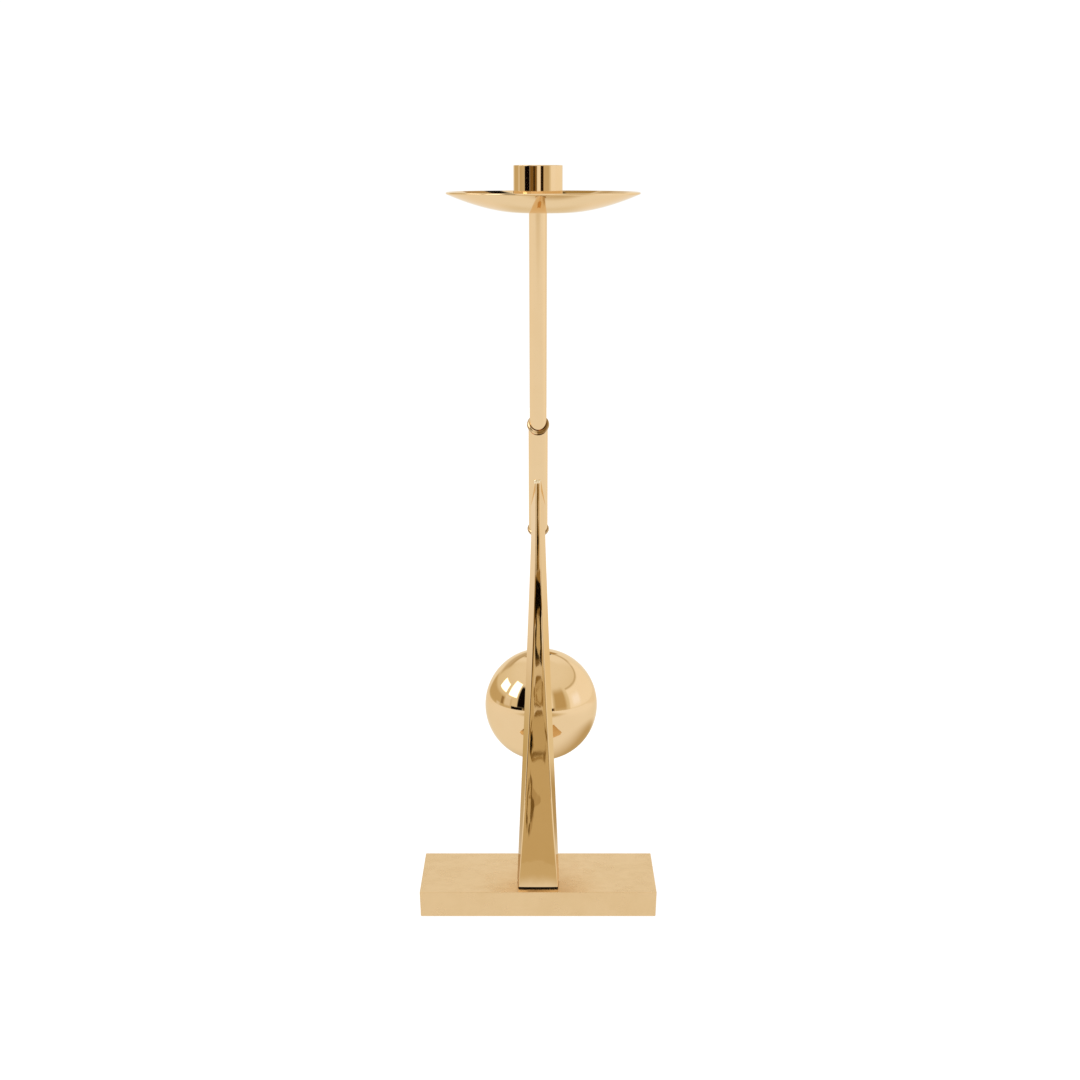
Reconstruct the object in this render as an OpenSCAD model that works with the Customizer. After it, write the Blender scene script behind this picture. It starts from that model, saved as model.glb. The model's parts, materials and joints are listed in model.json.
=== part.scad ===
// Counterbalanced brass candlestick.
// A tapered blade stands on a flat base and carries a sleeve near its tip. The stem leans through
// the sleeve, with a drip dish and a candle cup on its upper end and a hollow ball on its lower end.

/* [Base] */
// Width of the base block across its front
base_w = 130; // [110:1:160]
// Depth of the base block from front to back
base_d = 74; // [70:1:100]
// Height of the top of the base block above the table
base_h = 14; // [13:0.5:20]
// How far each end of the block slopes in from its top to its bottom
base_draft = 0.6; // [0:0.1:2]
// Thickness of the felt sheet under the block
felt_t = 1.2; // [0.8:0.1:2]
// How far the felt stands out below the block
felt_proud = 0.3; // [0.1:0.1:0.6]
// Margin of bare metal around the felt
felt_margin = 4; // [2:0.5:8]

/* [Blade] */
// Width of the blade at its foot
foot_w = 23.5; // [22:0.5:30]
// Width of the blade's front face at its foot
foot_front_w = 22; // [16:0.5:22]
// Depth of the blade at its foot
foot_d = 16; // [14:0.5:20]
// Distance of the foot's front from the base's centre line
foot_front = 30.4; // [28:0.2:34]
// Width of the blade where it reaches the sleeve
neck_w = 8; // [6:0.5:9]
// Width of the blade's front face where it reaches the sleeve
neck_front_w = 3.1; // [2:0.1:4]
// Depth of the blade where it reaches the sleeve
neck_d = 14; // [12:0.5:18]
// How far the blade leans back from the vertical
blade_lean = 6.4; // [4:0.2:8]
// Height of the shadow gap under the blade's foot
foot_gap = 0.6; // [0.4:0.1:1]

/* [Stem] */
// How far the stem leans forward from the vertical
stem_lean = 34; // [30:1:36]
// Height of the middle of the sleeve above the table
sleeve_z = 238.3; // [230:0.5:250]
// Distance between the middles of the two collars
collar_gap = 76.5; // [60:0.5:80]
// Outside diameter of the sleeve
sleeve_od = 10.4; // [10.2:0.1:11]
// Outside diameter of the collars
collar_od = 12; // [11.6:0.1:13]
// Radius of the rounded edge of a collar
collar_round = 1.5; // [1.2:0.1:1.8]
// How far the upper collar and the sleeve's upper end slope down towards the front
collar_slope = 21; // [0:1:24]
// Outside diameter of the stem tube
tube_od = 9; // [8.8:0.1:9.4]
// Diameter of the rod between the tube and the ball
rod_d = 7; // [6:0.5:7]

/* [Ball] */
// Diameter of the ball
ball_d = 67; // [60:1:70]
// Distance along the stem from the middle of the sleeve to the middle of the ball
ball_reach = 182.2; // [170:0.5:190]
// Wall thickness of the ball
ball_wall = 2; // [1.5:0.1:3]
// How far the middle of the ball lies off the rod's line, to the right
ball_offset = 1.7; // [0:0.1:2]

/* [Dish and cup] */
// Height of the underside of the dish above the table
dish_z = 384.7; // [370:0.5:400]
// Diameter of the dish
dish_d = 97; // [80:1:110]
// Height of the dish from its underside to its rim
dish_depth = 9.1; // [7:0.1:12]
// Sheet thickness of the dish
dish_t = 1.2; // [0.8:0.1:1.5]
// How far the hole in the dish lies from the dish's middle
dish_offset = 2.6; // [0:0.1:2.9]
// Outside diameter of the candle cup
cup_od = 24.5; // [24.2:0.1:28]
// Diameter of the candle socket
socket_d = 22.2; // [21:0.1:22.4]
// Height of the candle cup
cup_h = 21.8; // [18:0.2:30]
// Thickness of the cup's floor
cup_floor = 5; // [4.5:0.1:7]

/* [Hidden] */

$fn = 96;
brass = [0.88, 0.74, 0.52];
steel = [0.62, 0.62, 0.64];
felt_green = [0.10, 0.16, 0.12];
fibre_red = [0.45, 0.16, 0.10];

// Radial clearance of every shaft in its hole
slack = 0.05;
// Overshoot of a cutting solid past the face that it cuts
over = 1;
// Edge of a block that is larger than the whole candlestick
beyond = 500;

// Blade: foot, neck and tip
foot_y = -foot_front;
foot_mid_y = foot_y + foot_d / 2;
neck_z = 205;
tip_z = 246;
blade_steps = 12;
foot_inset = 0.8;
// How strongly the whole blade and its front face flare towards the foot; 1 is a straight taper
blade_flare = 1.08;
face_flare = 1.5;

// Fasteners under the base
screw_r = 2.5;
screw_x = 6;
screw_head_r = 4.25;
screw_head_h = 5;
screw_head_z = 2;
screw_bite = 12;
screw_end_z = base_h + screw_bite;
socket_key = 4;
socket_deep = 2.5;
washer_t = 1;
washer_r = 4.6;
counterbore_r = 4.9;
shoulder_z = screw_head_z + screw_head_h + washer_t;
dowel_r = 1.5;
dowel_y = 5;
dowel_half = 6;
dowel_mid_z = base_h;

// Stem: radii, and distances along it from the middle of the sleeve
sleeve_r = sleeve_od / 2;
tube_r = tube_od / 2;
sleeve_bore_r = tube_r + slack;
rod_r = rod_d / 2;
tube_bore_r = rod_r + slack;
collar_at = collar_gap / 2;
// Share of a collar's half length that stands past the end of the sleeve
collar_past = 0.9;
sleeve_half = collar_at - collar_round * collar_past;
tube_end = -(collar_at + collar_round);
rod_top = 12;
stem_top = (dish_z - sleeve_z) / cos(stem_lean);
head_len = 20;
pin_r = 1;
pin_deep = 2.4;

// Ball
ball_r = ball_d / 2;
ball_inner_r = ball_r - ball_wall;
boss_r = 8;
boss_bottom = 6;
rod_end = 9;
seam_half = 3;
seam_t = 1.5;
seam_gap = 0.02;

// Cup and dish
cup_x = 0;
cup_y = -(dish_z - sleeve_z) * tan(stem_lean);
stud_r = 3;
hole_r = stud_r + slack;
washer_fibre_t = 0.5;
washer_fibre_r = 9;
cup_z = dish_z + dish_t + washer_fibre_t;
stud_short = 0.5;
stud_top = cup_z + cup_floor - stud_short;
dish_r = dish_d / 2;
dish_flat_r = 12;
dish_curve = 1.7;
dish_steps = 18;

// Share of the way from the neck down to the foot, 0 to 1
function down(z) = max(0, (neck_z - z) / (neck_z - base_h));
function blade_half(z) = (neck_w + (foot_w - neck_w) * pow(down(z), blade_flare)) / 2;
function face_half(z) = (neck_front_w + (foot_front_w - neck_front_w) * pow(down(z), face_flare)) / 2;
function blade_deep(z) = neck_d + (foot_d - neck_d) * down(z);
function blade_front(z) = foot_y + (z - base_h) * tan(blade_lean);

// The four corners of the blade at one height: front left, front right, back right, back left
function blade_ring(z) = [
    [-face_half(z), blade_front(z), z],
    [face_half(z), blade_front(z), z],
    [blade_half(z), blade_front(z) + blade_deep(z), z],
    [-blade_half(z), blade_front(z) + blade_deep(z), z]
];

// Underside of the dish at a distance r from its middle
function dish_rise(r) = dish_depth * pow(max(0, r - dish_flat_r) / (dish_r - dish_flat_r), dish_curve);
function dish_radius(i) = dish_flat_r + (dish_r - dish_flat_r) * i / dish_steps;

// Places its children on the stem, a distance up it from the middle of the sleeve
module on_stem(along) {
    translate([0, 0, sleeve_z])
        rotate([stem_lean, 0, 0])
            translate([0, 0, along])
                children();
}

// Places its children about the middle of the ball
module at_ball(along) {
    on_stem(along - ball_reach)
        translate([ball_offset, 0, 0])
            children();
}

// Places its children at a height on the cup's axis
module at_cup(z) {
    translate([cup_x, cup_y, z])
        children();
}

module at_screws() {
    for (side = [-1, 1])
        translate([side * screw_x, foot_mid_y, 0])
            children();
}

module at_dowels() {
    for (side = [-1, 1])
        translate([0, foot_mid_y + side * dowel_y, 0])
            children();
}

// Tube with its lower end at the origin
module tube(outer_r, inner_r, h) {
    difference() {
        cylinder(r = outer_r, h = h);
        translate([0, 0, -over])
            cylinder(r = inner_r, h = h + 2 * over);
    }
}

module base_block() {
    color(brass)
        difference() {
            translate([0, base_d / 2, 0])
                rotate([90, 0, 0])
                    linear_extrude(height = base_d)
                        polygon([
                            [-base_w / 2 + base_draft, felt_proud],
                            [base_w / 2 - base_draft, felt_proud],
                            [base_w / 2, base_h],
                            [-base_w / 2, base_h]
                        ]);
            felt_sheet(felt_t);
            at_screws() {
                cylinder(r = counterbore_r, h = shoulder_z);
                cylinder(r = screw_r + slack, h = base_h + over);
            }
            at_dowels()
                translate([0, 0, dowel_mid_z - dowel_half])
                    cylinder(r = dowel_r + slack, h = dowel_half + over);
        }
}

module felt_sheet(h) {
    translate([-base_w / 2 + felt_margin, -base_d / 2 + felt_margin, 0])
        cube([base_w - 2 * felt_margin, base_d - 2 * felt_margin, h]);
}

module base_felt() {
    color(felt_green)
        felt_sheet(felt_t);
}

// Straight-sided slices of the blade from its foot to above its tip
module blade_blank() {
    rings = [for (i = [0 : blade_steps]) blade_ring(base_h + (tip_z - base_h) * i / blade_steps)];
    points = [for (ring = rings) for (corner = ring) corner];
    sides = [
        for (i = [0 : blade_steps - 1])
            for (k = [0 : 3])
                [4 * i + k, 4 * (i + 1) + k, 4 * (i + 1) + (k + 1) % 4, 4 * i + (k + 1) % 4]
    ];
    top = 4 * blade_steps;
    ends = [[0, 1, 2, 3], [top + 3, top + 2, top + 1, top]];
    polyhedron(points = points, faces = concat(sides, ends));
}

// What is cut away around the lowest stretch of the foot
module shadow_gap() {
    translate([0, foot_mid_y, base_h - over])
        difference() {
            translate([-foot_w, -foot_d, 0])
                cube([2 * foot_w, 2 * foot_d, over + foot_gap]);
            translate([-foot_front_w / 2 + foot_inset, -foot_d / 2 + foot_inset, -over])
                cube([foot_front_w - 2 * foot_inset, foot_d - 2 * foot_inset, foot_gap + 3 * over]);
        }
}

module blade() {
    color(brass)
        difference() {
            blade_blank();
            shadow_gap();
            on_stem(-beyond / 2)
                cylinder(r = sleeve_r, h = beyond);
            on_stem(-beyond / 2)
                translate([-beyond / 2, 0, 0])
                    cube([beyond, beyond, beyond]);
            at_screws()
                cylinder(r = screw_r + slack, h = screw_end_z + over);
            at_dowels()
                cylinder(r = dowel_r + slack, h = dowel_mid_z + dowel_half);
        }
}

module blade_screws() {
    color(steel)
        at_screws()
            difference() {
                union() {
                    translate([0, 0, screw_head_z])
                        cylinder(r = screw_head_r, h = screw_head_h);
                    translate([0, 0, screw_head_z])
                        cylinder(r = screw_r, h = screw_end_z - screw_head_z);
                }
                translate([0, 0, screw_head_z - over])
                    cylinder(d = socket_key / cos(30), h = socket_deep + over, $fn = 6);
            }
}

module blade_washers() {
    color(steel)
        at_screws()
            translate([0, 0, shoulder_z - washer_t])
                tube(washer_r, screw_r + slack, washer_t);
}

module blade_dowels() {
    color(steel)
        at_dowels()
            translate([0, 0, dowel_mid_z - dowel_half])
                cylinder(r = dowel_r, h = 2 * dowel_half);
}

// Pin across the sleeve, the tube and the rod, put in from behind
module pin_shape(r, tip) {
    on_stem(0)
        translate([0, -pin_deep, 0])
            rotate([-90, 0, 0])
                cylinder(r = r, h = pin_deep + tip);
}

// The sleeve's outside as a solid rod: square at its lower end, sloping at its upper end
module sleeve_blank() {
    difference() {
        on_stem(-sleeve_half)
            cylinder(r = sleeve_r, h = 2 * sleeve_half + sleeve_od);
        on_stem(sleeve_half)
            rotate([collar_slope, 0, 0])
                translate([-beyond / 2, -beyond / 2, 0])
                    cube([beyond, beyond, beyond]);
    }
}

module sleeve() {
    color(brass)
        difference() {
            sleeve_blank();
            on_stem(-beyond / 2)
                cylinder(r = sleeve_bore_r, h = beyond);
            pin_shape(pin_r + slack, sleeve_r + over);
        }
}

// Ring with a rounded outside, centred on the origin; slope tips its front down
module collar(slope) {
    difference() {
        rotate([slope, 0, 0])
            rotate_extrude()
                translate([collar_od / 2 - collar_round, 0])
                    circle(r = collar_round);
        translate([0, 0, -collar_od])
            cylinder(r = sleeve_bore_r, h = 2 * collar_od);
    }
}

module upper_collar() {
    color(brass)
        difference() {
            on_stem(collar_at)
                collar(collar_slope);
            sleeve_blank();
        }
}

module lower_collar() {
    color(brass)
        difference() {
            on_stem(-collar_at)
                collar(0);
            sleeve_blank();
        }
}

// Everything above the level of the dish's underside
module above_dish() {
    translate([-beyond / 2, -beyond / 2, dish_z])
        cube([beyond, beyond, beyond]);
}

module stem_tube() {
    color(brass)
        difference() {
            on_stem(tube_end)
                tube(tube_r, tube_bore_r, stem_top - tube_end + 2 * tube_od);
            above_dish();
            pin_shape(pin_r + slack, sleeve_r);
        }
}

module stem_rod() {
    color(brass)
        difference() {
            on_stem(-ball_reach + rod_end)
                cylinder(r = rod_r, h = ball_reach - rod_end + rod_top);
            pin_shape(pin_r + slack, sleeve_r);
        }
}

module stem_pin() {
    color(steel)
        pin_shape(pin_r, sleeve_r - slack);
}

// Plug in the tube's upper end, with an upright stud for the cup
module stem_head() {
    color(brass)
        union() {
            difference() {
                on_stem(stem_top - head_len)
                    cylinder(r = rod_r, h = head_len + 2 * tube_od);
                above_dish();
            }
            at_cup(dish_z - slack)
                cylinder(r = stud_r, h = stud_top - dish_z + slack);
        }
}

module dish() {
    underside = [for (i = [0 : dish_steps]) [dish_radius(i), dish_rise(dish_radius(i))]];
    upside = [for (i = [dish_steps : -1 : 0]) [dish_radius(i), dish_rise(dish_radius(i)) + dish_t]];
    color(brass)
        difference() {
            at_cup(dish_z)
                translate([dish_offset, 0, 0])
                    rotate_extrude()
                        polygon(concat([[0, 0]], underside, upside, [[0, dish_t]]));
            at_cup(dish_z - over)
                cylinder(r = hole_r, h = dish_t + 2 * over);
        }
}

module cup_washer() {
    color(fibre_red)
        at_cup(dish_z + dish_t)
            tube(washer_fibre_r, hole_r, washer_fibre_t);
}

module cup() {
    color(brass)
        at_cup(cup_z)
            difference() {
                cylinder(d = cup_od, h = cup_h);
                translate([0, 0, cup_floor])
                    cylinder(d = socket_d, h = cup_h);
                translate([0, 0, -over])
                    cylinder(r = hole_r, h = cup_floor + 2 * over);
            }
}

// Hollow ball about the origin, cut down to its upper half
module half_ball() {
    difference() {
        sphere(r = ball_r);
        sphere(r = ball_inner_r);
        translate([-beyond / 2, -beyond / 2, -beyond])
            cube([beyond, beyond, beyond]);
    }
}

// Hole for the rod, from a height above the ball's middle upwards
module rod_hole(from) {
    on_stem(from - ball_reach)
        cylinder(r = rod_r + slack, h = ball_d);
}

module ball_upper_shell() {
    color(brass)
        difference() {
            at_ball(0)
                half_ball();
            rod_hole(0);
        }
}

module ball_lower_shell() {
    color(brass)
        at_ball(0)
            mirror([0, 0, 1])
                half_ball();
}

module ball_seam_ring() {
    outer_r = sqrt(pow(ball_inner_r, 2) - pow(seam_half, 2)) - seam_gap;
    color(brass)
        at_ball(-seam_half)
            tube(outer_r, outer_r - seam_t, 2 * seam_half);
}

module ball_boss() {
    color(brass)
        difference() {
            intersection() {
                at_ball(0)
                    sphere(r = ball_inner_r);
                on_stem(boss_bottom - ball_reach)
                    cylinder(r = boss_r, h = ball_r);
            }
            rod_hole(boss_bottom - over);
        }
}

base_block();
base_felt();
blade();
blade_screws();
blade_washers();
blade_dowels();
sleeve();
upper_collar();
lower_collar();
stem_tube();
stem_rod();
stem_pin();
stem_head();
dish();
cup_washer();
cup();
ball_upper_shell();
ball_lower_shell();
ball_seam_ring();
ball_boss();
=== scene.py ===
import json
import math

import bmesh
import bpy
from mathutils import Matrix, Vector


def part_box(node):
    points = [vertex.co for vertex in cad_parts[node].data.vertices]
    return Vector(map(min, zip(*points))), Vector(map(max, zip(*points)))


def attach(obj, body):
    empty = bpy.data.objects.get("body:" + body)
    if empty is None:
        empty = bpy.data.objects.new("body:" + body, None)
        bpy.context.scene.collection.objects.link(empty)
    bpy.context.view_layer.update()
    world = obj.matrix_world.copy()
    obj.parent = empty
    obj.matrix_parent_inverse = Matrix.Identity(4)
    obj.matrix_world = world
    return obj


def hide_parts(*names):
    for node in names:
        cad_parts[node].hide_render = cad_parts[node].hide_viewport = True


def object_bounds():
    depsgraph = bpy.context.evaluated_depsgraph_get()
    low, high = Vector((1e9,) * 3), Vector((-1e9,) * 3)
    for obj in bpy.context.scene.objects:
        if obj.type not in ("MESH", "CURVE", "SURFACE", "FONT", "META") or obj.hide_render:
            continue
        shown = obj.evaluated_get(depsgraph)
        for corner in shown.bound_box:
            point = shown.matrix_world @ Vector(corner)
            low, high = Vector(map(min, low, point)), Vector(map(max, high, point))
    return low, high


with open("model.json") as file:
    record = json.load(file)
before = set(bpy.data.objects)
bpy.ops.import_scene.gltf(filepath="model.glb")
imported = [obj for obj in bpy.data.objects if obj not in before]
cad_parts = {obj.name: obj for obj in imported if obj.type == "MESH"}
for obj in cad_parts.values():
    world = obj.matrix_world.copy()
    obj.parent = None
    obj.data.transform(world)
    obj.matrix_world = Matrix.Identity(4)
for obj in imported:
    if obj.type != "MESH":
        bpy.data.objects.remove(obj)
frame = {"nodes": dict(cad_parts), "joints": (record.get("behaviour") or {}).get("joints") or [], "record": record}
cad_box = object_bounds()

MM = 0.001
MICRON = 0.000001

# ---------------------------------------------------------------- places and sizes from the frame

joints = {joint["name"]: joint for joint in frame["joints"]}
mounts = {mount["name"]: mount for mount in frame["record"]["mounts"]}

stem_up = Vector(joints["ball_turn"]["axis"]).normalized()
stem_foot = Vector(joints["ball_turn"]["pos_m"])
stem_back = Vector((0, stem_up.z, -stem_up.y))
cup_axis = Vector(joints["cup_turn"]["pos_m"])


def radius_of(node):
    """Half of a node's width across the candlestick."""
    low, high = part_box(node)
    return (high.x - low.x) / 2


def centre_of(node):
    """Middle of a node's box."""
    low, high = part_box(node)
    return (low + high) / 2


def along_stem(point):
    """Distance of a point along the stem, from the middle of the ball."""
    return (point - stem_foot).dot(stem_up)


def stem_matrix(along, aside=0.0):
    """Frame with +Z up the stem, a distance along it from the middle of the ball."""
    origin = stem_foot + stem_up * along + Vector((aside, 0, 0))
    return Matrix.Translation(origin) @ stem_up.to_track_quat("Z", "X").to_matrix().to_4x4()


base_low, base_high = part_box("base_block")
felt_low, felt_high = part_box("base_felt")
blade_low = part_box("blade")[0]
dish_low, dish_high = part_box("dish")
cup_low, cup_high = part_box("cup")

tube_r = radius_of("stem_tube")
rod_r = radius_of("stem_rod")
sleeve_r = radius_of("sleeve")
collar_r = radius_of("upper_collar")
ball_r = radius_of("ball_lower_shell")
ball_aside = centre_of("ball_lower_shell").x

# The sloping upper collar's box isn't centred on the stem, so it is placed from the lower one.
COLLAR_GAP = 76.5 * MM
lower_collar_at = along_stem(centre_of("lower_collar"))
upper_collar_at = lower_collar_at + COLLAR_GAP

# ---------------------------------------------------------------- profiles turned on a lathe
# A profile runs counter-clockwise in (radius, height): up the outside, in over the top, down the
# inside. It is a list of runs, and each run is a smooth stretch of (point, normal) pairs.


def line(a, b):
    """One straight run."""
    length = math.hypot(b[0] - a[0], b[1] - a[1])
    normal = ((b[1] - a[1]) / length, (a[0] - b[0]) / length)
    return [(a, normal), (b, normal)]


def arc(centre, radius, start, stop, steps=8):
    """One round run between two angles in degrees; it is hollow where the angle falls."""
    side = 1 if stop > start else -1
    run = []
    for i in range(steps + 1):
        angle = math.radians(start + (stop - start) * i / steps)
        out = (math.cos(angle), math.sin(angle))
        point = (centre[0] + radius * out[0], centre[1] + radius * out[1])
        run.append((point, (side * out[0], side * out[1])))
    return run


def rounded(corners):
    """Runs round a closed profile of (radius, height, corner radius) points."""
    count = len(corners)
    rounds = []
    for i, (x, y, r) in enumerate(corners):
        here = Vector((x, y))
        before = (Vector(corners[i - 1][:2]) - here).normalized()
        after = (Vector(corners[(i + 1) % count][:2]) - here).normalized()
        half = before.angle(after) / 2
        if r == 0:
            rounds.append([(tuple(here), None)])
            continue
        middle = here + (before + after).normalized() * (r / math.sin(half))
        reach = r / math.tan(half)
        first = here + before * reach - middle
        last = here + after * reach - middle
        start = math.degrees(math.atan2(first.y, first.x))
        turn = math.degrees(math.atan2(last.y, last.x)) - start
        turn = (turn + 180) % 360 - 180
        rounds.append(arc(tuple(middle), r, start, start + turn))
    runs = []
    for i, here in enumerate(rounds):
        if len(here) > 1:
            runs.append(here)
        runs.append(line(here[-1][0], rounds[(i + 1) % count][0][0]))
    return runs


def link_mesh(name, mesh):
    """An object in the scene that shows a mesh."""
    piece = bpy.data.objects.new(name, mesh)
    bpy.context.scene.collection.objects.link(piece)
    return piece


def link_form(name, form):
    """An object in the scene from a bmesh, which is used up."""
    mesh = bpy.data.meshes.new(name)
    form.to_mesh(mesh)
    form.free()
    return link_mesh(name, mesh)


def make_mesh(name, points, faces, normals):
    """An object whose face corners have the given normals."""
    mesh = bpy.data.meshes.new(name)
    mesh.from_pydata([tuple(p) for p in points], [], faces)
    mesh.polygons.foreach_set("use_smooth", [True] * len(faces))
    mesh.normals_split_custom_set([tuple(n) for n in normals])
    return link_mesh(name, mesh)


def revolve(name, runs, place, turns=128, adjust=None):
    """Turns a profile about its axis and puts it in place. adjust may then move each point."""
    points, faces, normals = [], [], []
    rings = {}
    turned = place.to_3x3()

    def ring(point):
        key = (round(point[0], 9), round(point[1], 9))
        if key not in rings:
            count = 1 if point[0] < 1e-9 else turns
            rings[key] = list(range(len(points), len(points) + count))
            for i in range(count):
                angle = 2 * math.pi * i / turns
                local = Vector((point[0] * math.cos(angle), point[0] * math.sin(angle), point[1]))
                points.append(adjust(place @ local) if adjust else place @ local)
        return rings[key]

    for run in runs:
        for (a, normal_a), (b, normal_b) in zip(run, run[1:]):
            ring_a, ring_b = ring(a), ring(b)
            for i in range(turns):
                j = (i + 1) % turns
                corners = [
                    (ring_a, i, normal_a), (ring_a, j, normal_a),
                    (ring_b, j, normal_b), (ring_b, i, normal_b),
                ]
                if len(ring_a) == 1:
                    corners.pop(1)
                elif len(ring_b) == 1:
                    corners.pop(2)
                faces.append([r[k % len(r)] for r, k, _ in corners])
                for _, k, (out, up) in corners:
                    angle = 2 * math.pi * k / turns
                    normal = Vector((out * math.cos(angle), out * math.sin(angle), up))
                    normals.append((turned @ normal).normalized())
    return make_mesh(name, points, faces, normals)


SHARP_ANGLE = 40


def soften(piece):
    """Normals that lean towards each corner's largest faces, split where faces meet sharply."""
    mesh = piece.data
    limit = math.cos(math.radians(SHARP_ANGLE))
    around = [[] for _ in mesh.vertices]
    for face in mesh.polygons:
        for vertex in face.vertices:
            around[vertex].append(face)
    normals = []
    for face in mesh.polygons:
        for vertex in face.vertices:
            total = Vector()
            for other in around[vertex]:
                if other.normal.dot(face.normal) > limit:
                    total += other.normal * other.area
            normals.append(total.normalized())
    mesh.polygons.foreach_set("use_smooth", [True] * len(mesh.polygons))
    mesh.normals_split_custom_set([tuple(n) for n in normals])
    return piece


# ---------------------------------------------------------------- node helpers


class Nodes:
    """Short calls for building a node tree."""

    def __init__(self, tree, clear=True):
        self.tree = tree
        if clear:
            tree.nodes.clear()

    def new(self, kind, **settings):
        node = self.tree.nodes.new(kind)
        for name, value in settings.items():
            setattr(node, name, value)
        return node

    def put(self, socket, value):
        if isinstance(value, bpy.types.NodeSocket):
            self.tree.links.new(value, socket)
        elif value is not None:
            socket.default_value = value

    def math(self, operation, a, b=None):
        node = self.new("ShaderNodeMath", operation=operation)
        for socket, value in zip(node.inputs, (a, b)):
            self.put(socket, value)
        return node.outputs[0]

    def ramp(self, value, low, high, out_low=0.0, out_high=1.0):
        """A smooth step from out_low to out_high as value goes from low to high."""
        node = self.new("ShaderNodeMapRange", interpolation_type="SMOOTHSTEP")
        for name, entry in (("Value", value), ("From Min", low), ("From Max", high),
                            ("To Min", out_low), ("To Max", out_high)):
            self.put(node.inputs[name], entry)
        return node.outputs["Result"]

    def mix(self, share, a, b):
        node = self.new("ShaderNodeMix", data_type="RGBA")
        for socket, value in ((node.inputs[0], share), (node.inputs[6], a), (node.inputs[7], b)):
            self.put(socket, value)
        return node.outputs[2]

    def noise(self, place, scale, detail=2.0, roughness=0.5, distortion=0.0):
        node = self.new("ShaderNodeTexNoise")
        for name, value in (("Vector", place), ("Scale", scale), ("Detail", detail),
                            ("Roughness", roughness), ("Distortion", distortion)):
            self.put(node.inputs[name], value)
        return node.outputs["Fac"]

    def stretch(self, place, scale):
        node = self.new("ShaderNodeMapping")
        self.put(node.inputs["Vector"], place)
        self.put(node.inputs["Scale"], scale)
        return node.outputs["Vector"]

    def bump(self, height, distance, normal=None):
        node = self.new("ShaderNodeBump")
        for name, value in (("Height", height), ("Distance", distance), ("Strength", 1.0),
                            ("Normal", normal)):
            self.put(node.inputs[name], value)
        return node.outputs["Normal"]


def rgb(red, green, blue):
    """An opaque colour."""
    return (red, green, blue, 1.0)


# ---------------------------------------------------------------- materials

BRASS = rgb(0.86, 0.64, 0.385)
BRASS_DEEP = rgb(0.83, 0.60, 0.34)
SATIN_TONES = (rgb(0.81, 0.59, 0.34), rgb(0.77, 0.55, 0.30))
BEAD_TONES = (rgb(0.95, 0.84, 0.64), rgb(0.76, 0.56, 0.32))
EDGE_TINT = rgb(0.95, 0.89, 0.77)


def new_material(name):
    material = bpy.data.materials.new(name)
    material.use_nodes = True
    nodes = Nodes(material.node_tree)
    shader = nodes.new("ShaderNodeBsdfPrincipled")
    output = nodes.new("ShaderNodeOutputMaterial")
    nodes.put(output.inputs["Surface"], shader.outputs[0])
    place = nodes.new("ShaderNodeTexCoord").outputs["Object"]
    return material, nodes, shader, place


def brass(name, shine, wave, wave_size, grain, mottle=0.3, tones=(BRASS, BRASS_DEEP), ripple=1.5):
    """Brass. shine is its range of roughness, and mottle how far its second tone shows.

    wave, wave_size and ripple are the height, scale and detail of its long polishing waves, and
    grain is the height of its fine scratches.
    """
    material, nodes, shader, place = new_material(name)
    cloud = nodes.noise(place, 55.0, 3.0, 0.6)
    nodes.put(shader.inputs["Base Color"], nodes.mix(nodes.ramp(cloud, 0.35, 0.7, 0.0, mottle), *tones))
    shader.inputs["Metallic"].default_value = 1.0
    shader.inputs["Specular Tint"].default_value = EDGE_TINT
    smear = nodes.noise(place, 160.0, 4.0, 0.65)
    nodes.put(shader.inputs["Roughness"], nodes.ramp(smear, 0.3, 0.7, shine[0], shine[1]))
    fine = nodes.noise(nodes.stretch(place, (1.0, 1.0, 0.12)), 2600.0, 2.0, 0.6)
    long = nodes.noise(nodes.stretch(place, wave_size), 1.0, ripple, 0.45)
    waves = nodes.bump(long, wave)
    nodes.put(shader.inputs["Normal"], nodes.bump(fine, grain, waves))
    return material


def shader_of(material):
    """The material's own shader node."""
    return next(node for node in material.node_tree.nodes if node.type == "BSDF_PRINCIPLED")


polished_brass = brass("polished_brass", (0.03, 0.06), 50 * MICRON, (60, 60, 22), 0.03 * MICRON)
blade_brass = brass("blade_brass", (0.02, 0.04), 40 * MICRON, (120, 120, 50), 0.02 * MICRON, ripple=2.0)
bead_brass = brass("bead_brass", (0.15, 0.3), 50 * MICRON, (400, 400, 400), 0.4 * MICRON, 0.5, BEAD_TONES)
collar_brass = brass("collar_brass", (0.10, 0.16), 50 * MICRON, (60, 60, 22), 0.03 * MICRON)
satin_brass = brass("satin_brass", (0.20, 0.28), 15 * MICRON, (70, 70, 120), 0.1 * MICRON, 0.7, SATIN_TONES)


def shade_flanks(material, right_tint, foot_tint):
    """Paints shade into the grazing colour on a brass piece's right-hand side, and more so low on its left."""
    nodes, shader = Nodes(material.node_tree, clear=False), shader_of(material)
    normal = nodes.new("ShaderNodeSeparateXYZ")
    nodes.put(normal.inputs[0], nodes.new("ShaderNodeNewGeometry").outputs["Normal"])
    place = nodes.new("ShaderNodeSeparateXYZ")
    nodes.put(place.inputs[0], nodes.new("ShaderNodeTexCoord").outputs["Object"])
    right = nodes.math("MULTIPLY", nodes.ramp(normal.outputs[0], 0.2, 0.8),
                       nodes.ramp(place.outputs[2], 0.13, 0.19, 1.0, 0.45))
    foot = nodes.math("MULTIPLY", nodes.ramp(normal.outputs[0], -0.8, -0.2, 1.0, 0.0),
                      nodes.ramp(place.outputs[2], 0.08, 0.17, 1.0, 0.0))
    tint = nodes.mix(right, EDGE_TINT, right_tint)
    nodes.put(shader.inputs["Specular Tint"], nodes.mix(foot, tint, foot_tint))


# Painted shade on the blade's right flank and low on its left.
shade_flanks(blade_brass, rgb(0.87, 0.72, 0.47), rgb(0.62, 0.46, 0.22))


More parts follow.
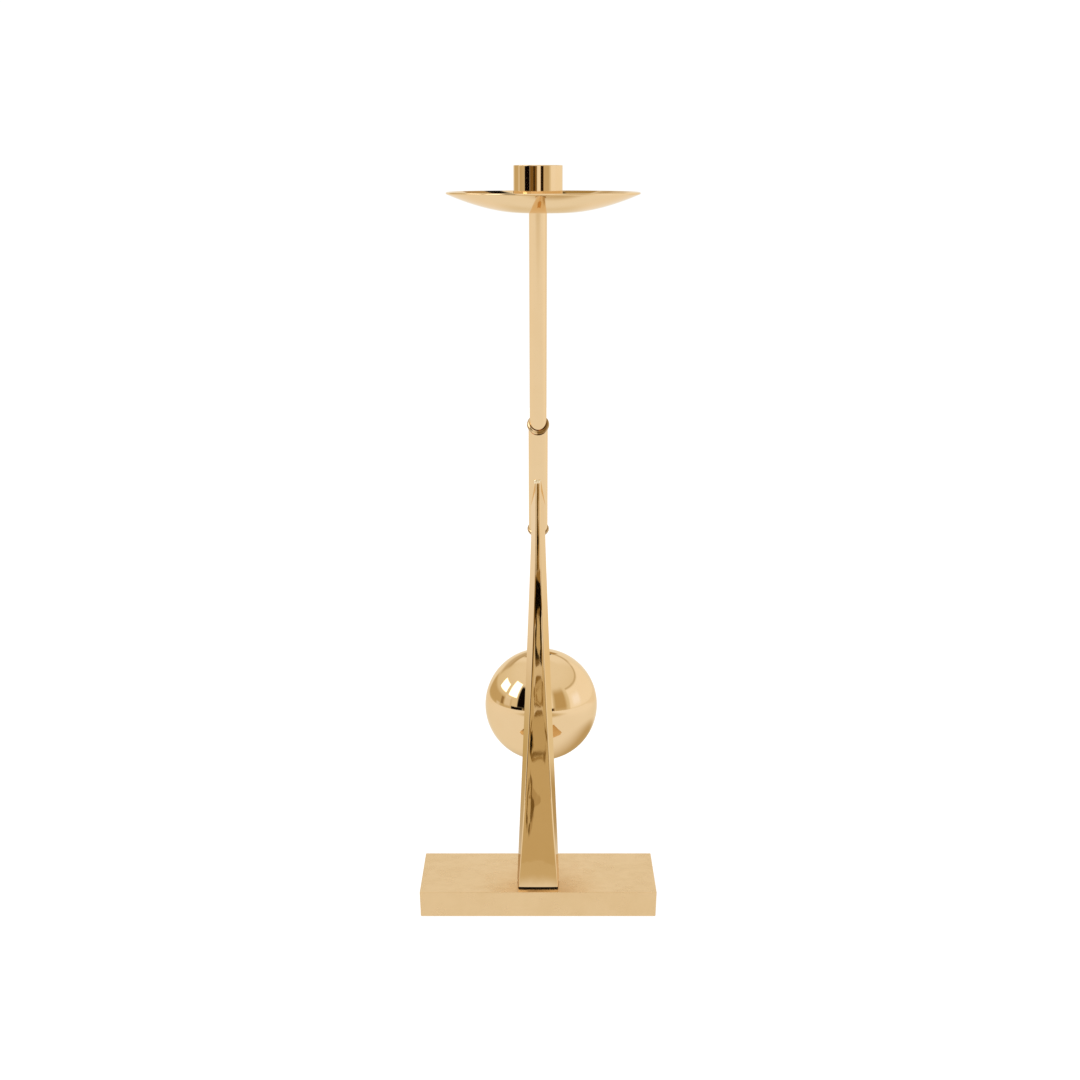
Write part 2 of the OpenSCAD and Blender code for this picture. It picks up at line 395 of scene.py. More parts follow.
def paint_collar_reflections(material, colour):
    """Paints dark brown reflections into a ring's colour by which way it faces across, leaving it clear only on
    its front left, where its highlight shows.
    """
    nodes, shader = Nodes(material.node_tree, clear=False), shader_of(material)
    clean = shader.inputs["Base Color"].links[0].from_socket
    normal = nodes.new("ShaderNodeSeparateXYZ")
    nodes.put(normal.inputs[0], nodes.new("ShaderNodeNewGeometry").outputs["Normal"])
    left = nodes.ramp(normal.outputs[0], -0.6, -0.4, 0.5, 0.0)
    right = nodes.math("MULTIPLY", nodes.ramp(normal.outputs[0], -0.15, 0.0),
                       nodes.ramp(normal.outputs[0], 0.5, 0.9, 0.9, 0.4))
    nodes.put(shader.inputs["Base Color"], nodes.mix(nodes.math("MAXIMUM", left, right), clean, colour))


# Painted dark reflections round both collars.
paint_collar_reflections(collar_brass, rgb(0.22, 0.105, 0.015))


def felt():
    material, nodes, shader, place = new_material("felt")
    tuft = nodes.noise(place, 900.0, 6.0, 0.7, 0.6)
    dark, light = rgb(0.010, 0.022, 0.014), rgb(0.030, 0.055, 0.036)
    nodes.put(shader.inputs["Base Color"], nodes.mix(nodes.ramp(tuft, 0.3, 0.7), dark, light))
    shader.inputs["Roughness"].default_value = 0.95
    shader.inputs["Sheen Weight"].default_value = 0.4
    nodes.put(shader.inputs["Normal"], nodes.bump(tuft, 400 * MICRON))
    return material


def steel():
    material, nodes, shader, place = new_material("steel")
    turned = nodes.noise(place, 1200.0, 3.0)
    nodes.put(shader.inputs["Base Color"], nodes.mix(turned, rgb(0.50, 0.50, 0.52), rgb(0.66, 0.66, 0.68)))
    shader.inputs["Metallic"].default_value = 1.0
    nodes.put(shader.inputs["Roughness"], nodes.ramp(turned, 0.3, 0.7, 0.25, 0.4))
    nodes.put(shader.inputs["Normal"], nodes.bump(turned, 4 * MICRON))
    return material


def fibre():
    material, nodes, shader, place = new_material("fibre")
    flecks = nodes.noise(place, 1500.0, 5.0, 0.7)
    nodes.put(shader.inputs["Base Color"], nodes.mix(flecks, rgb(0.10, 0.02, 0.012), rgb(0.22, 0.05, 0.03)))
    shader.inputs["Roughness"].default_value = 0.8
    nodes.put(shader.inputs["Normal"], nodes.bump(flecks, 30 * MICRON))
    return material


def shadow_line():
    """The painted shadow in the gap under the blade's foot: near black, with a faint mottle."""
    material, nodes, shader, place = new_material("shadow_line")
    shadow_mottle = nodes.noise(place, 800.0, 3.0)
    dark, light = rgb(0.004, 0.002, 0.001), rgb(0.016, 0.009, 0.004)
    nodes.put(shader.inputs["Base Color"], nodes.mix(shadow_mottle, dark, light))
    shader.inputs["Roughness"].default_value = 0.8
    shader.inputs["Specular IOR Level"].default_value = 0.1
    return material


felt_green, plain_steel, fibre_red, gap_shadow = felt(), steel(), fibre(), shadow_line()


def finish_piece(piece, material, body, slot, *nodes):
    """Gives a piece its material and its body, and hides the CAD nodes that it stands for; slot is not used."""
    piece.data.materials.clear()
    piece.data.materials.append(material)
    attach(piece, body)
    if nodes:
        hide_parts(*nodes)
    return piece


# ---------------------------------------------------------------- base

EDGE = 0.35 * MM
BASE_DRAFT = 0.6 * MM
FELT_EDGE = 0.3 * MM


def corner_ring(form, half_x, half_y, z):
    """Four corners of a rectangle at one height."""
    around = ((-1, -1), (1, -1), (1, 1), (-1, 1))
    return [form.verts.new((x * half_x, y * half_y, z)) for x, y in around]


def base_piece():
    """The block with its ends drawn in, its edges eased and the felt's recess in its underside."""
    form = bmesh.new()
    bottom = corner_ring(form, base_high.x - BASE_DRAFT, base_high.y, base_low.z)
    top = corner_ring(form, base_high.x, base_high.y, base_high.z)
    form.faces.new(top)
    form.faces.new(bottom[::-1])
    for i in range(4):
        j = (i + 1) % 4
        form.faces.new((bottom[i], bottom[j], top[j], top[i]))
    edges = list(form.edges)
    bmesh.ops.bevel(form, geom=edges, offset=EDGE, segments=4, profile=0.5, affect="EDGES")
    form.faces.ensure_lookup_table()
    underside = min(form.faces, key=lambda face: face.calc_center_median().z + face.normal.z)
    margin = base_high.x - BASE_DRAFT - EDGE - felt_high.x
    bmesh.ops.inset_region(form, faces=[underside], thickness=margin)
    form.faces.ensure_lookup_table()
    inner = min(form.faces, key=lambda face: (round(face.calc_center_median().z, 6), -face.calc_area()))
    moved = bmesh.ops.extrude_face_region(form, geom=[inner])["geom"]
    for vertex in (item for item in moved if isinstance(item, bmesh.types.BMVert)):
        vertex.co.z = felt_high.z
    if inner.is_valid:
        bmesh.ops.delete(form, geom=[inner], context="FACES_ONLY")
    bmesh.ops.recalc_face_normals(form, faces=form.faces)
    return soften(link_form("base", form))


finish_piece(base_piece(), satin_brass, "stand", "satin_brass", "base_block")


def felt_piece():
    """A sheet with softly rounded edges."""
    form = bmesh.new()
    bmesh.ops.create_cube(form, size=1.0)
    size = felt_high - felt_low
    for vertex in form.verts:
        vertex.co = Vector([vertex.co[k] * size[k] + (felt_low[k] + felt_high[k]) / 2 for k in range(3)])
    edges = list(form.edges)
    bmesh.ops.bevel(form, geom=edges, offset=FELT_EDGE, segments=3, profile=0.5, affect="EDGES")
    return soften(link_form("felt_sheet", form))


finish_piece(felt_piece(), felt_green, "stand", "felt", "base_felt")

# ---------------------------------------------------------------- blade

BLADE_LEAN = math.tan(math.radians(6.4))
FOOT_FRONT_HALF = 11 * MM
FOOT_HALF = 11.75 * MM
FOOT_DEPTH = 16 * MM
NECK_FRONT_HALF = 1.55 * MM
NECK_HALF = 4 * MM
NECK_DEPTH = 14 * MM
NECK_HEIGHT = 205 * MM
FRONT_FLARE = 1.5
BACK_FLARE = 1.08
GAP_HEIGHT = 0.85 * MM
GAP_INSET = 0.15 * MM
GAP_LIP = 0.02 * MM
BLADE_ROUND = 0.7 * MM
BACK_ROUND = 0.4 * MM
FRONT_STEPS = 20
FRONT_SWELL = 4.0
BLADE_RINGS = 90
ROUND_STEPS = 8


def blade_corners(z):
    """Front left, front right, back right and back left of the blade at a height."""
    down = max(0.0, (NECK_HEIGHT - z) / (NECK_HEIGHT - blade_low.z))
    front = NECK_FRONT_HALF + (FOOT_FRONT_HALF - NECK_FRONT_HALF) * down ** FRONT_FLARE
    back = NECK_HALF + (FOOT_HALF - NECK_HALF) * down ** BACK_FLARE
    deep = NECK_DEPTH + (FOOT_DEPTH - NECK_DEPTH) * down
    y = blade_low.y + (z - blade_low.z) * BLADE_LEAN
    return [Vector((-front, y)), Vector((front, y)), Vector((back, y + deep)), Vector((-back, y + deep))]


def blade_outline(z, inset=0.0):
    """The blade's section at a height, with eased corners, as points that run round it."""
    corners = blade_corners(z)
    middle = sum(corners, Vector((0, 0))) / 4
    for corner in corners:
        corner.x += math.copysign(inset, middle.x - corner.x)
        corner.y += math.copysign(inset, middle.y - corner.y)
    outline = []
    for i, here in enumerate(corners):
        radius = min(BLADE_ROUND, corners[1].x * 0.2) if i < 2 else BACK_ROUND
        before = (corners[i - 1] - here).normalized()
        after = (corners[(i + 1) % 4] - here).normalized()
        half = before.angle(after) / 2
        centre = here + (before + after).normalized() * (radius / math.sin(half))
        first = here + before * (radius / math.tan(half)) - centre
        last = here + after * (radius / math.tan(half)) - centre
        turn = first.angle_signed(last)
        for k in range(ROUND_STEPS + 1):
            spun = first.copy()
            spun.rotate(Matrix.Rotation(-turn * k / ROUND_STEPS, 2))
            outline.append(centre + spun)
        if i == 0:
            reach = -outline[-1].x
            for k in range(1, FRONT_STEPS):
                share = 2 * k / FRONT_STEPS - 1
                swell = math.radians(FRONT_SWELL) * reach / 4 * (1 - share ** 4)
                outline.append(Vector((reach * share, here.y - swell)))
    return outline


sleeve_middle = stem_foot + stem_up * (lower_collar_at + COLLAR_GAP / 2)
SEAT_DEPTH = 2 * MM
SEAT_SEARCH = 30 * MM
SEAT_HALVINGS = 40


def seat_height(index):
    """Height at which one line of the blade's outline ends inside the sleeve, found by halving."""
    low, high = blade_low.z, sleeve_middle.z + SEAT_SEARCH
    for _ in range(SEAT_HALVINGS):
        z = (low + high) / 2
        x, y = blade_outline(z)[index]
        behind = (Vector((x, y, z)) - sleeve_middle).dot(stem_back)
        low, high = (z, high) if behind < -SEAT_DEPTH else (low, z)
    return (low + high) / 2


def blade_piece():
    foot_z = blade_low.z + GAP_HEIGHT
    count = len(blade_outline(foot_z))
    tops = [seat_height(i) for i in range(count)]
    rings = [
        [Vector((*p, blade_low.z)) for p in blade_outline(foot_z, GAP_INSET)],
        [Vector((*p, foot_z - GAP_LIP)) for p in blade_outline(foot_z, GAP_INSET)],
    ]
    for k in range(BLADE_RINGS + 1):
        ring = []
        for i, top in enumerate(tops):
            z = foot_z + (top - foot_z) * k / BLADE_RINGS
            ring.append(Vector((*blade_outline(z)[i], z)))
        rings.append(ring)
    points = [p for ring in rings for p in ring]
    faces = [list(range(count))[::-1]]
    for k in range(len(rings) - 1):
        for i in range(count):
            j = (i + 1) % count
            faces.append([k * count + i, k * count + j, (k + 1) * count + j, (k + 1) * count + i])
    faces.append([(len(rings) - 1) * count + i for i in range(count)])
    form = bmesh.new()
    verts = [form.verts.new(p) for p in points]
    for face in faces:
        form.faces.new([verts[i] for i in face])
    bmesh.ops.recalc_face_normals(form, faces=form.faces)
    return soften(link_form("blade_upright", form))


blade = finish_piece(blade_piece(), blade_brass, "stand", "polished_brass", "blade")
# The faces of the gap under the foot take the painted shadow.
blade.data.materials.append(gap_shadow)
for face in blade.data.polygons:
    if face.center.z < blade_low.z + GAP_HEIGHT * 0.9:
        face.material_index = 1

BEAD_RISE = 1.4 * MM
BEAD_ASIDE = -0.4 * MM
BEAD_SIZE = Vector((1.9, 1.1, 1.7)) * MM


def braze_bead():
    """The small uneven bead of braze on the sleeve above the blade's tip."""
    form = bmesh.new()
    bmesh.ops.create_uvsphere(form, u_segments=40, v_segments=24, radius=1.0)
    middle = sleeve_middle - stem_back * (sleeve_r - 0.2 * MM) + stem_up * BEAD_RISE
    middle.x = BEAD_ASIDE
    for vertex in form.verts:
        across, out, up = vertex.co
        lump = 1 + 0.16 * math.sin(4 * across + 1) * math.cos(5 * up) + 0.08 * math.sin(9 * up + 3 * across)
        size = BEAD_SIZE * lump
        bulge = stem_up * (up * size.z) - stem_back * (out * size.y)
        vertex.co = middle + Vector((across * size.x, 0, 0)) + bulge
    piece = link_form("braze_bead", form)
    piece.data.polygons.foreach_set("use_smooth", [True] * len(piece.data.polygons))
    return piece


finish_piece(braze_bead(), bead_brass, "stand", "polished_brass")

# ---------------------------------------------------------------- sleeve, collars, tube and rod

COLLAR_ROUND = 1.5 * MM
BORE_GAP = 0.05 * MM
SLEEVE_EDGE = 0.05 * MM
TUBE_EDGE = 0.1 * MM
CUT_ZONE = 1 * MM


def tube_profile(outer, inner, length, edge):
    """A tube whose outer edges are eased."""
    return rounded([(inner, 0, 0), (outer, 0, edge), (outer, length, edge), (inner, length, 0)])


COLLAR_SLOPE = math.radians(21)
sleeve_start = lower_collar_at + COLLAR_ROUND * 0.9
sleeve_length = upper_collar_at - lower_collar_at - COLLAR_ROUND * 1.8


def cut_sloping(point):
    """Slopes the sleeve's upper end down towards the front."""
    if along_stem(point) < sleeve_start + sleeve_length - CUT_ZONE:
        return point
    return point + stem_up * ((point - stem_foot).dot(stem_back) * math.tan(COLLAR_SLOPE))


finish_piece(
    revolve("sleeve_tube", tube_profile(sleeve_r, tube_r + BORE_GAP, sleeve_length, SLEEVE_EDGE),
            stem_matrix(sleeve_start), adjust=cut_sloping),
    polished_brass, "stand", "polished_brass", "sleeve")


def collar_profile():
    """A rounded ring with a straight bore."""
    middle = collar_r - COLLAR_ROUND
    bore = tube_r + BORE_GAP
    rise = math.sqrt(COLLAR_ROUND ** 2 - (bore - middle) ** 2)
    end = math.degrees(math.atan2(rise, bore - middle))
    return [arc((middle, 0), COLLAR_ROUND, -end, end, 28), line((bore, rise), (bore, -rise))]


def collar_place(along, slope):
    """Frame of a collar on the stem, its front tipped down by an angle."""
    middle = stem_foot + stem_up * along
    tip = Matrix.Translation(middle) @ Matrix.Rotation(slope, 4, "X") @ Matrix.Translation(-middle)
    return tip @ stem_matrix(along)


for node, at, slope in (
    ("upper_collar", upper_collar_at, COLLAR_SLOPE),
    ("lower_collar", lower_collar_at, 0.0),
):
    finish_piece(revolve(node + "_ring", collar_profile(), collar_place(at, slope)),
                 collar_brass, "stand", "polished_brass", node)


def stem_tube_piece():
    """The tube, whose upper end is cut level against the dish's underside."""
    wall = tube_r - rod_r - BORE_GAP
    start = lower_collar_at - COLLAR_ROUND
    top = along_stem(Vector((0, cup_axis.y, dish_low.z)))

    def cut_level(point):
        if along_stem(point) < top - CUT_ZONE:
            return point
        return point + stem_up * ((dish_low.z - point.z) / stem_up.z)

    return revolve("stem_outer_tube", tube_profile(tube_r, tube_r - wall, top - start, TUBE_EDGE),
                   stem_matrix(start), adjust=cut_level)


finish_piece(stem_tube_piece(), polished_brass, "stand", "polished_brass", "stem_tube")

ROD_LOW = 9 * MM
ROD_EDGE = 0.5 * MM


def rod_profile(length):
    """A solid rod; its last run, which would lie on the axis, is left out."""
    return rounded([(0, 0, 0), (rod_r, 0, ROD_EDGE), (rod_r, length, ROD_EDGE), (0, length, 0)])[:-1]


rod_length = sleeve_start + sleeve_length / 2 - ROD_LOW
finish_piece(revolve("lower_rod", rod_profile(rod_length), stem_matrix(ROD_LOW)),
             polished_brass, "stand", "polished_brass", "stem_rod")

# ---------------------------------------------------------------- ball

BALL_WALL = 2 * MM
ball_place = stem_matrix(0, ball_aside)


def shell_profile(side):
    """Half of a hollow ball; side is 1 for the half towards the dish."""
    outer = arc((0, 0), ball_r, 0, 90, 48)
    rim = line((ball_r - BALL_WALL, 0), (ball_r, 0))
    inner = arc((0, 0), ball_r - BALL_WALL, 90, 0, 48)
    runs = [rim, outer, inner]
    if side < 0:
        runs = [
            [((r, -h), (out, -up)) for (r, h), (out, up) in reversed(run)]
            for run in reversed(runs)
        ]
    return runs


for node, side in (("ball_upper_shell", 1), ("ball_lower_shell", -1)):
    finish_piece(revolve(node.replace("_shell", "_half"), shell_profile(side), ball_place, turns=160),
                 polished_brass, "counterweight", "polished_brass", node)

# ---------------------------------------------------------------- dish and cup

DISH_THICK = 1.2 * MM
DISH_FLAT = 12 * MM
DISH_CURVE = 1.7
dish_r = radius_of("dish")
dish_middle = centre_of("dish")
HOLE_R = 3.05 * MM
DISH_STEPS = 72


def dish_profile():
    """Underside, rounded lip and upper side of the dish, at half its thickness from its middle sheet."""
    half = DISH_THICK / 2
    rise = dish_high.z - dish_low.z - DISH_THICK
    reach = dish_r - half
    middle = []
    for i in range(DISH_STEPS + 1):
        r = DISH_FLAT + (reach - DISH_FLAT) * i / DISH_STEPS
        share = (r - DISH_FLAT) / (reach - DISH_FLAT)
        slope = rise * DISH_CURVE * share ** (DISH_CURVE - 1) / (reach - DISH_FLAT)
        z = half + rise * share ** DISH_CURVE
        middle.append((r, z, math.atan(slope)))

    def side(sign):
        runs = []
        for r, z, a in middle:
            out, up = sign * math.sin(a), -sign * math.cos(a)
            runs.append(((r + half * out, z + half * up), (out, up)))
        return runs

    under, over = side(1), side(-1)[::-1]
    r, z, a = middle[-1]
    tilt = math.degrees(a)
    lip = arc((r, z), half, tilt - 90, tilt + 90, 16)
    floor = line((HOLE_R, 0), (DISH_FLAT, 0))
    ceiling = line((DISH_FLAT, DISH_THICK), (HOLE_R, DISH_THICK))
    hole = line((HOLE_R, DISH_THICK), (HOLE_R, 0))
    return [floor, under, lip, over, ceiling, hole]


def centre_hole(point):
    """Moves the hole's rings from the dish's middle to the cup's line."""
    if math.hypot(point.x - dish_middle.x, point.y - dish_middle.y) > HOLE_R * 1.01:
        return point
    return point + Vector((cup_axis.x - dish_middle.x, 0, 0))


dish_place = Matrix.Translation((dish_middle.x, dish_middle.y, dish_low.z))
finish_piece(revolve("drip_dish_bowl", dish_profile(), dish_place, turns=192, adjust=centre_hole),
             polished_brass, "drip_dish", "polished_brass", "dish")

socket = mounts["candle_socket"]
socket_r = socket["dims"]["r_mm"] * MM
cup_height = cup_high.z - cup_low.z
cup_floor = cup_height - socket["dims"]["length_mm"] * MM
cup_r = radius_of("cup")
cup_place = Matrix.Translation((cup_axis.x, cup_axis.y, cup_low.z))
finish_piece(
    revolve("candle_cup_body", rounded([
        (HOLE_R, 0, 0.1 * MM),
        (cup_r, 0, 0.9 * MM),
        (cup_r, cup_height, 0.3 * MM),
        (socket_r, cup_height, 0.3 * MM),
        (socket_r, cup_floor, 1.0 * MM),
        (HOLE_R, cup_floor, 0.2 * MM),
    ]), cup_place),
    polished_brass, "candle_cup", "polished_brass", "cup")

# ---------------------------------------------------------------- CAD nodes that stay

for name, material in (
    ("blade_screws", plain_steel), ("blade_washers", plain_steel), ("blade_dowels", plain_steel),
    ("stem_pin", plain_steel), ("stem_head", polished_brass), ("cup_washer", fibre_red),
    ("ball_seam_ring", satin_brass), ("ball_boss", satin_brass),
):
    node = frame["nodes"][name]
    node.data.materials.clear()
    node.data.materials.append(material)

# ---------------------------------------------------------------- floor and backdrop

WHITE = rgb(1.0, 1.0, 1.0)
FLOOR_GLOW = 0.86
FLOOR_R = 2.6
TABLE_R = 2.0
DOME_R = 4.0


def stage_disc(name, radius, z):
    form = bmesh.new()
    bmesh.ops.create_circle(form, cap_ends=True, segments=96, radius=radius)
    bmesh.ops.translate(form, verts=form.verts, vec=(0, 0, z))
    disc = link_form(name, form)
    return disc


def seen_by_camera_only(obj):
    obj.visible_glossy = False
    obj.visible_diffuse = False
    obj.visible_transmission = False
    obj.visible_shadow = False


def floor_material():
    material, nodes, shader, place = new_material("floor_paper")
    grain = nodes.noise(place, 40.0, 3.0)
    nodes.put(shader.inputs["Base Color"], nodes.mix(grain, rgb(0.20, 0.20, 0.21), rgb(0.22, 0.22, 0.23)))
    shader.inputs["Roughness"].default_value = 0.9
    shader.inputs["Emission Color"].default_value = WHITE
    shader.inputs["Emission Strength"].default_value = FLOOR_GLOW
    return material


floor = stage_disc("floor", FLOOR_R, cad_box[0].z)
floor.data.materials.append(floor_material())
floor.visible_glossy = False


def backdrop_material():
    material, _, shader, _ = new_material("backdrop_glow")
    shader.inputs["Base Color"].default_value = rgb(0, 0, 0)
    shader.inputs["Emission Color"].default_value = WHITE
    shader.inputs["Emission Strength"].default_value = 1.0
    return material


def backdrop():
    """A closed dome round the floor, so that every view has a plain white background."""
    form = bmesh.new()
    bmesh.ops.create_uvsphere(form, u_segments=48, v_segments=24, radius=DOME_R)
    bmesh.ops.reverse_faces(form, faces=form.faces)
    dome = link_form("backdrop", form)
    dome.data.materials.append(backdrop_material())
    seen_by_camera_only(dome)


backdrop()


def seen_in_metal_only(obj):
    obj.visible_camera = False
    obj.visible_diffuse = False
    obj.visible_transmission = False
    obj.visible_shadow = False


def emitter(name):
    """A material that only glows, with its nodes, its position and the socket for its colour."""
    material = bpy.data.materials.new(name)
    material.use_nodes = True
    nodes = Nodes(material.node_tree)
    glow = nodes.new("ShaderNodeEmission")
    nodes.put(nodes.new("ShaderNodeOutputMaterial").inputs["Surface"], glow.outputs[0])
    split = nodes.new("ShaderNodeSeparateXYZ")
    nodes.put(split.inputs[0], nodes.new("ShaderNodeTexCoord").outputs["Object"])
    return material, nodes, split.outputs, glow.inputs["Color"]


BALL_SHADE = Vector((0.07, 0.20))


def table_material():
    """The table as the metal mirrors it: pale nearby, tan far in front, shaded under the ball."""
    material, nodes, (x, y, _), colour = emitter("mirrored_table")
    tone = nodes.mix(nodes.ramp(y, -0.34, -0.17, 1.0, 0.0), rgb(0.93, 0.91, 0.86), rgb(0.66, 0.55, 0.34))
    tone = nodes.mix(nodes.ramp(x, -0.6, -0.15, 1.0, 0.0), tone, rgb(0.95, 0.92, 0.86))
    tone = nodes.mix(nodes.ramp(x, 0.15, 0.6), tone, rgb(1.00, 0.98, 0.94))
    off_centre = nodes.ramp(nodes.math("ABSOLUTE", x), 0.05, 0.13)
    far = nodes.mix(off_centre, rgb(0.84, 0.77, 0.63), rgb(0.95, 0.89, 0.80))
    tone = nodes.mix(nodes.ramp(y, 0.4, 0.7), tone, far)
    aside = nodes.math("POWER", nodes.math("ADD", x, -BALL_SHADE.x), 2.0)
    away = nodes.math("POWER", nodes.math("ADD", y, -BALL_SHADE.y), 2.0)
    distance = nodes.math("SQRT", nodes.math("ADD", aside, away))
    tone = nodes.mix(nodes.ramp(distance, 0.04, 0.15, 0.95, 0.0), tone, rgb(0.56, 0.44, 0.25))
    nodes.put(colour, tone)
    return material


mirrored_table = stage_disc("mirrored_table", TABLE_R, cad_box[0].z)
mirrored_table.data.materials.append(table_material())
seen_in_metal_only(mirrored_table)

CARD_Y = -0.45
CARD_STEP = 0.0005
CARDS = (
    # middle x, middle z, half width, half height, brightness
    (0.000, 0.060, 0.075, 0.130, 0.58),
    (0.000, 0.190, 0.030, 0.100, 0.72),
    (-0.008, 0.240, 0.012, 0.040, 0.30),
    (-0.008, 0.240, 0.007, 0.040, 0.02),
    (0.000, 0.189, 0.056, 0.022, 0.30),
    (0.000, 0.187, 0.045, 0.0175, 0.00),
    (0.004, 0.161, 0.030, 0.019, 0.20),
    (0.004, 0.161, 0.024, 0.018, 0.02),
    (0.000, 0.163, 0.006, 0.0155, 0.58),
    (0.004, 0.122, 0.024, 0.0105, 0.26),
    (0.004, 0.122, 0.015, 0.0092, 0.50),
    (0.006, 0.120, 0.009, 0.0060, 0.32),
    (0.005, 0.121, 0.005, 0.0048, 0.56),
    (0.000, 0.0905, 0.050, 0.0165, 0.24),
    (0.000, 0.0908, 0.040, 0.0150, 0.54),
    (0.002, 0.0785, 0.024, 0.0016, 0.20),
    (-0.004, 0.0745, 0.020, 0.0012, 0.30),
    (-0.030, 0.0870, 0.018, 0.0085, 0.25),
    (-0.031, 0.0870, 0.013, 0.0068, 0.00),
    (-0.027, 0.0420, 0.023, 0.0205, 0.46),
    (-0.027, 0.0420, 0.019, 0.0195, 0.18),
    (-0.027, 0.0423, 0.010, 0.0178, 0.57),
    (-0.024, 0.0520, 0.007, 0.0060, 0.30),
    (-0.024, 0.0522, 0.004, 0.0048, 0.57),
)
CARD_STEPS = 48


def card_material():
    material, nodes, _, colour = emitter("dark_card")
    shade = nodes.new("ShaderNodeAttribute", attribute_name="brightness").outputs["Fac"]
    scale = nodes.new("ShaderNodeValToRGB")
    stops = scale.color_ramp.elements
    stops[0].color = rgb(0.002, 0.001, 0.0)
    stops[1].color = rgb(0.98, 0.95, 0.88)
    stops.new(0.30).color = rgb(0.32, 0.20, 0.06)
    stops.new(0.60).color = rgb(0.63, 0.51, 0.29)
    nodes.put(scale.inputs["Fac"], shade)
    nodes.put(colour, scale.outputs["Color"])
    return material


def dark_cards():
    """Upright glowing cards in front, seen only in the metal, one before the other, which the blade's front
    mirrors as its dark streaks, a painted reflection.
    """
    form = bmesh.new()
    tint = form.faces.layers.float.new("brightness")
    for k, (x, z, wide, tall, shade) in enumerate(CARDS):
        ring = []
        for i in range(CARD_STEPS):
            angle = 2 * math.pi * i / CARD_STEPS
            ripple = 1 + 0.12 * math.sin(5 * angle + 2 * k) + 0.07 * math.sin(9 * angle + k)
            across, up = wide * ripple * math.cos(angle), tall * ripple * math.sin(angle)
            ring.append((x + across, CARD_Y + CARD_STEP * k, z + up))
        face = form.faces.new([form.verts.new(p) for p in ring])
        face[tint] = shade
    cards = link_form("dark_cards", form)
    cards.data.materials.append(card_material())
    seen_in_metal_only(cards)


dark_cards()

# ---------------------------------------------------------------- studio around the candlestick
# Directions are an azimuth, 0 towards the camera's side and positive to the right, and an elevation.

world = bpy.data.worlds.new("studio")
bpy.context.scene.world = world
world.use_nodes = True
sky = Nodes(world.node_tree)
direction = sky.new("ShaderNodeTexCoord").outputs["Generated"]
split = sky.new("ShaderNodeSeparateXYZ")
sky.put(split.inputs[0], direction)
DEGREES = math.degrees(1)
front = sky.math("MULTIPLY", split.outputs[1], -1.0)
azimuth = sky.math("MULTIPLY", sky.math("ARCTAN2", split.outputs[0], front), DEGREES)
elevation = sky.math("MULTIPLY", sky.math("ARCSINE", split.outputs[2]), DEGREES)


def patch(colour, under, az, el, soft_az, soft_el, share=1.0):
    """Lays a soft-edged patch of colour over what is under it."""
    mask = sky.math("MULTIPLY", sky.ramp(azimuth, az[0] - soft_az, az[0] + soft_az),
                    sky.ramp(azimuth, az[1] - soft_az, az[1] + soft_az, 1.0, 0.0))
    tall = sky.math("MULTIPLY", sky.ramp(elevation, el[0] - soft_el, el[0] + soft_el),
                    sky.ramp(elevation, el[1] - soft_el, el[1] + soft_el, 1.0, 0.0))
    both = sky.math("MULTIPLY", mask, tall)
    if share != 1.0:
        both = sky.math("MULTIPLY", both, share)
    return sky.mix(both, under, colour)


TABLE_NEAR = rgb(0.93, 0.90, 0.84)
TABLE_FAR = rgb(0.68, 0.57, 0.37)
ROOM = rgb(0.80, 0.73, 0.56)
CEILING = rgb(0.90, 0.86, 0.76)

table = sky.mix(sky.ramp(elevation, -45.0, -4.0), TABLE_NEAR, TABLE_FAR)
side_table = sky.mix(sky.ramp(sky.math("ABSOLUTE", azimuth), 20.0, 90.0), table, TABLE_NEAR)
room = sky.mix(sky.ramp(elevation, 10.0, 60.0), ROOM, CEILING)
light = sky.mix(sky.ramp(elevation, -3.2, -2.2), side_table, room)

WALL_PALE = rgb(0.97, 0.95, 0.90)
WALL_TAN = rgb(0.62, 0.50, 0.29)
WALL_BRIGHT = rgb(1.02, 0.99, 0.93)
DOOR = rgb(0.57, 0.44, 0.23)
CORNICE = rgb(0.45, 0.33, 0.15)
BRACKET = rgb(0.50, 0.36, 0.18)
SHADE = rgb(0.22, 0.12, 0.03)
BLACK = rgb(0.004, 0.002, 0.001)
LAMP = rgb(1.10, 1.14, 1.28)
WINDOW = rgb(3.0, 3.0, 3.0)

light = patch(WALL_PALE, light, (140, 400), (-2.5, 60), 15, 4)
light = patch(WALL_PALE, light, (-400, -145), (-2.5, 60), 8, 4)
light = patch(CORNICE, light, (140, 400), (30, 36), 12, 2, 0.6)
light = patch(CORNICE, light, (-400, -140), (30, 36), 12, 2, 0.6)
light = patch(CORNICE, light, (-174, -138), (18, 34), 5, 5, 0.6)
light = patch(CORNICE, light, (-180, -160), (37, 46), 2, 1)
light = patch(BRACKET, light, (167, 176), (24, 35.5), 1, 0.8)
light = patch(BLACK, light, (169, 175), (35.5, 41.5), 0.7, 0.6)
light = patch(BLACK, light, (-178.5, -175), (42.5, 45), 0.5, 0.4, 0.8)
light = patch(WALL_BRIGHT, light, (62, 150), (-2.5, 32), 3, 3)
light = patch(CORNICE, light, (62, 140), (32.5, 35.5), 2, 1, 0.5)
light = patch(LAMP, light, (70, 90), (3, 19), 5, 6)
light = patch(DOOR, light, (28, 54), (-2.5, 36), 4, 8)
light = patch(WALL_TAN, light, (-146, -66), (-2.5, 14), 4, 3)
light = patch(SHADE, light, (-93, -86), (1.5, 12), 1.5, 0.7, 0.7)
light = patch(WALL_PALE, light, (-106, -95), (-2.5, 1.5), 3, 0.7, 0.5)
light = patch(WALL_PALE, light, (-83, -68), (1.0, 17), 2, 3, 0.6)
